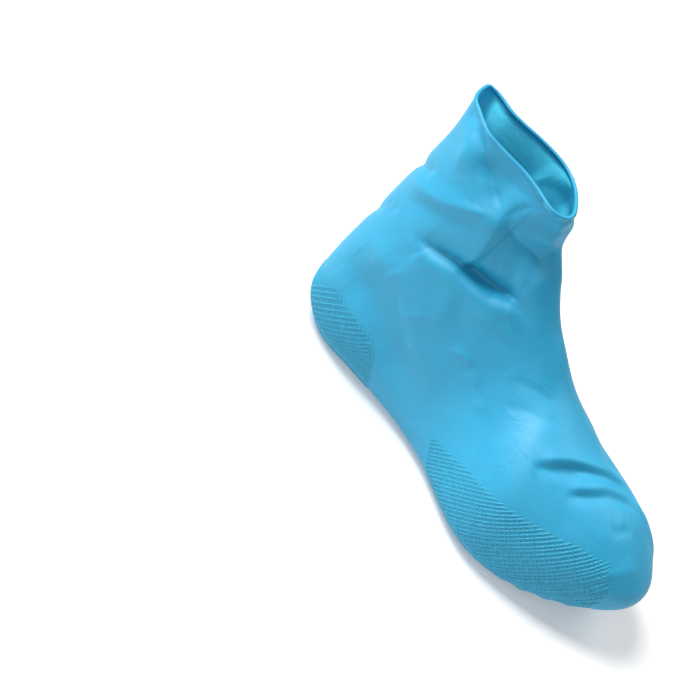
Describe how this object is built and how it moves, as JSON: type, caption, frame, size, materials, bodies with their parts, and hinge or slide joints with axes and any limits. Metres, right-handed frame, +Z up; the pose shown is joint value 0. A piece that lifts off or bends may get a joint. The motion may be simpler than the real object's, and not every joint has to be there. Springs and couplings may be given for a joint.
{
  "type": "waterproof shoe cover",
  "caption": "Dip-moulded rubber cover worn over a shoe: a thin hollow boot-shaped skin with a rolled mouth, a flat sole and soft folds at the ankle and the toe.",
  "frame": {"origin": "on the floor under the middle of the cover's box, on the flat sole", "axes": "+X from the heel to the toe, +Z up through the mouth; the -Y side carries the larger ankle fold"},
  "size_m": [0.2882, 0.1202, 0.1912],
  "materials": {
    "blue_latex": "satin sky-blue latex rubber, a little translucent"
  },
  "bodies": {
    "root": {"cover_shell": "blue_latex"}
  },
  "joints": []
}
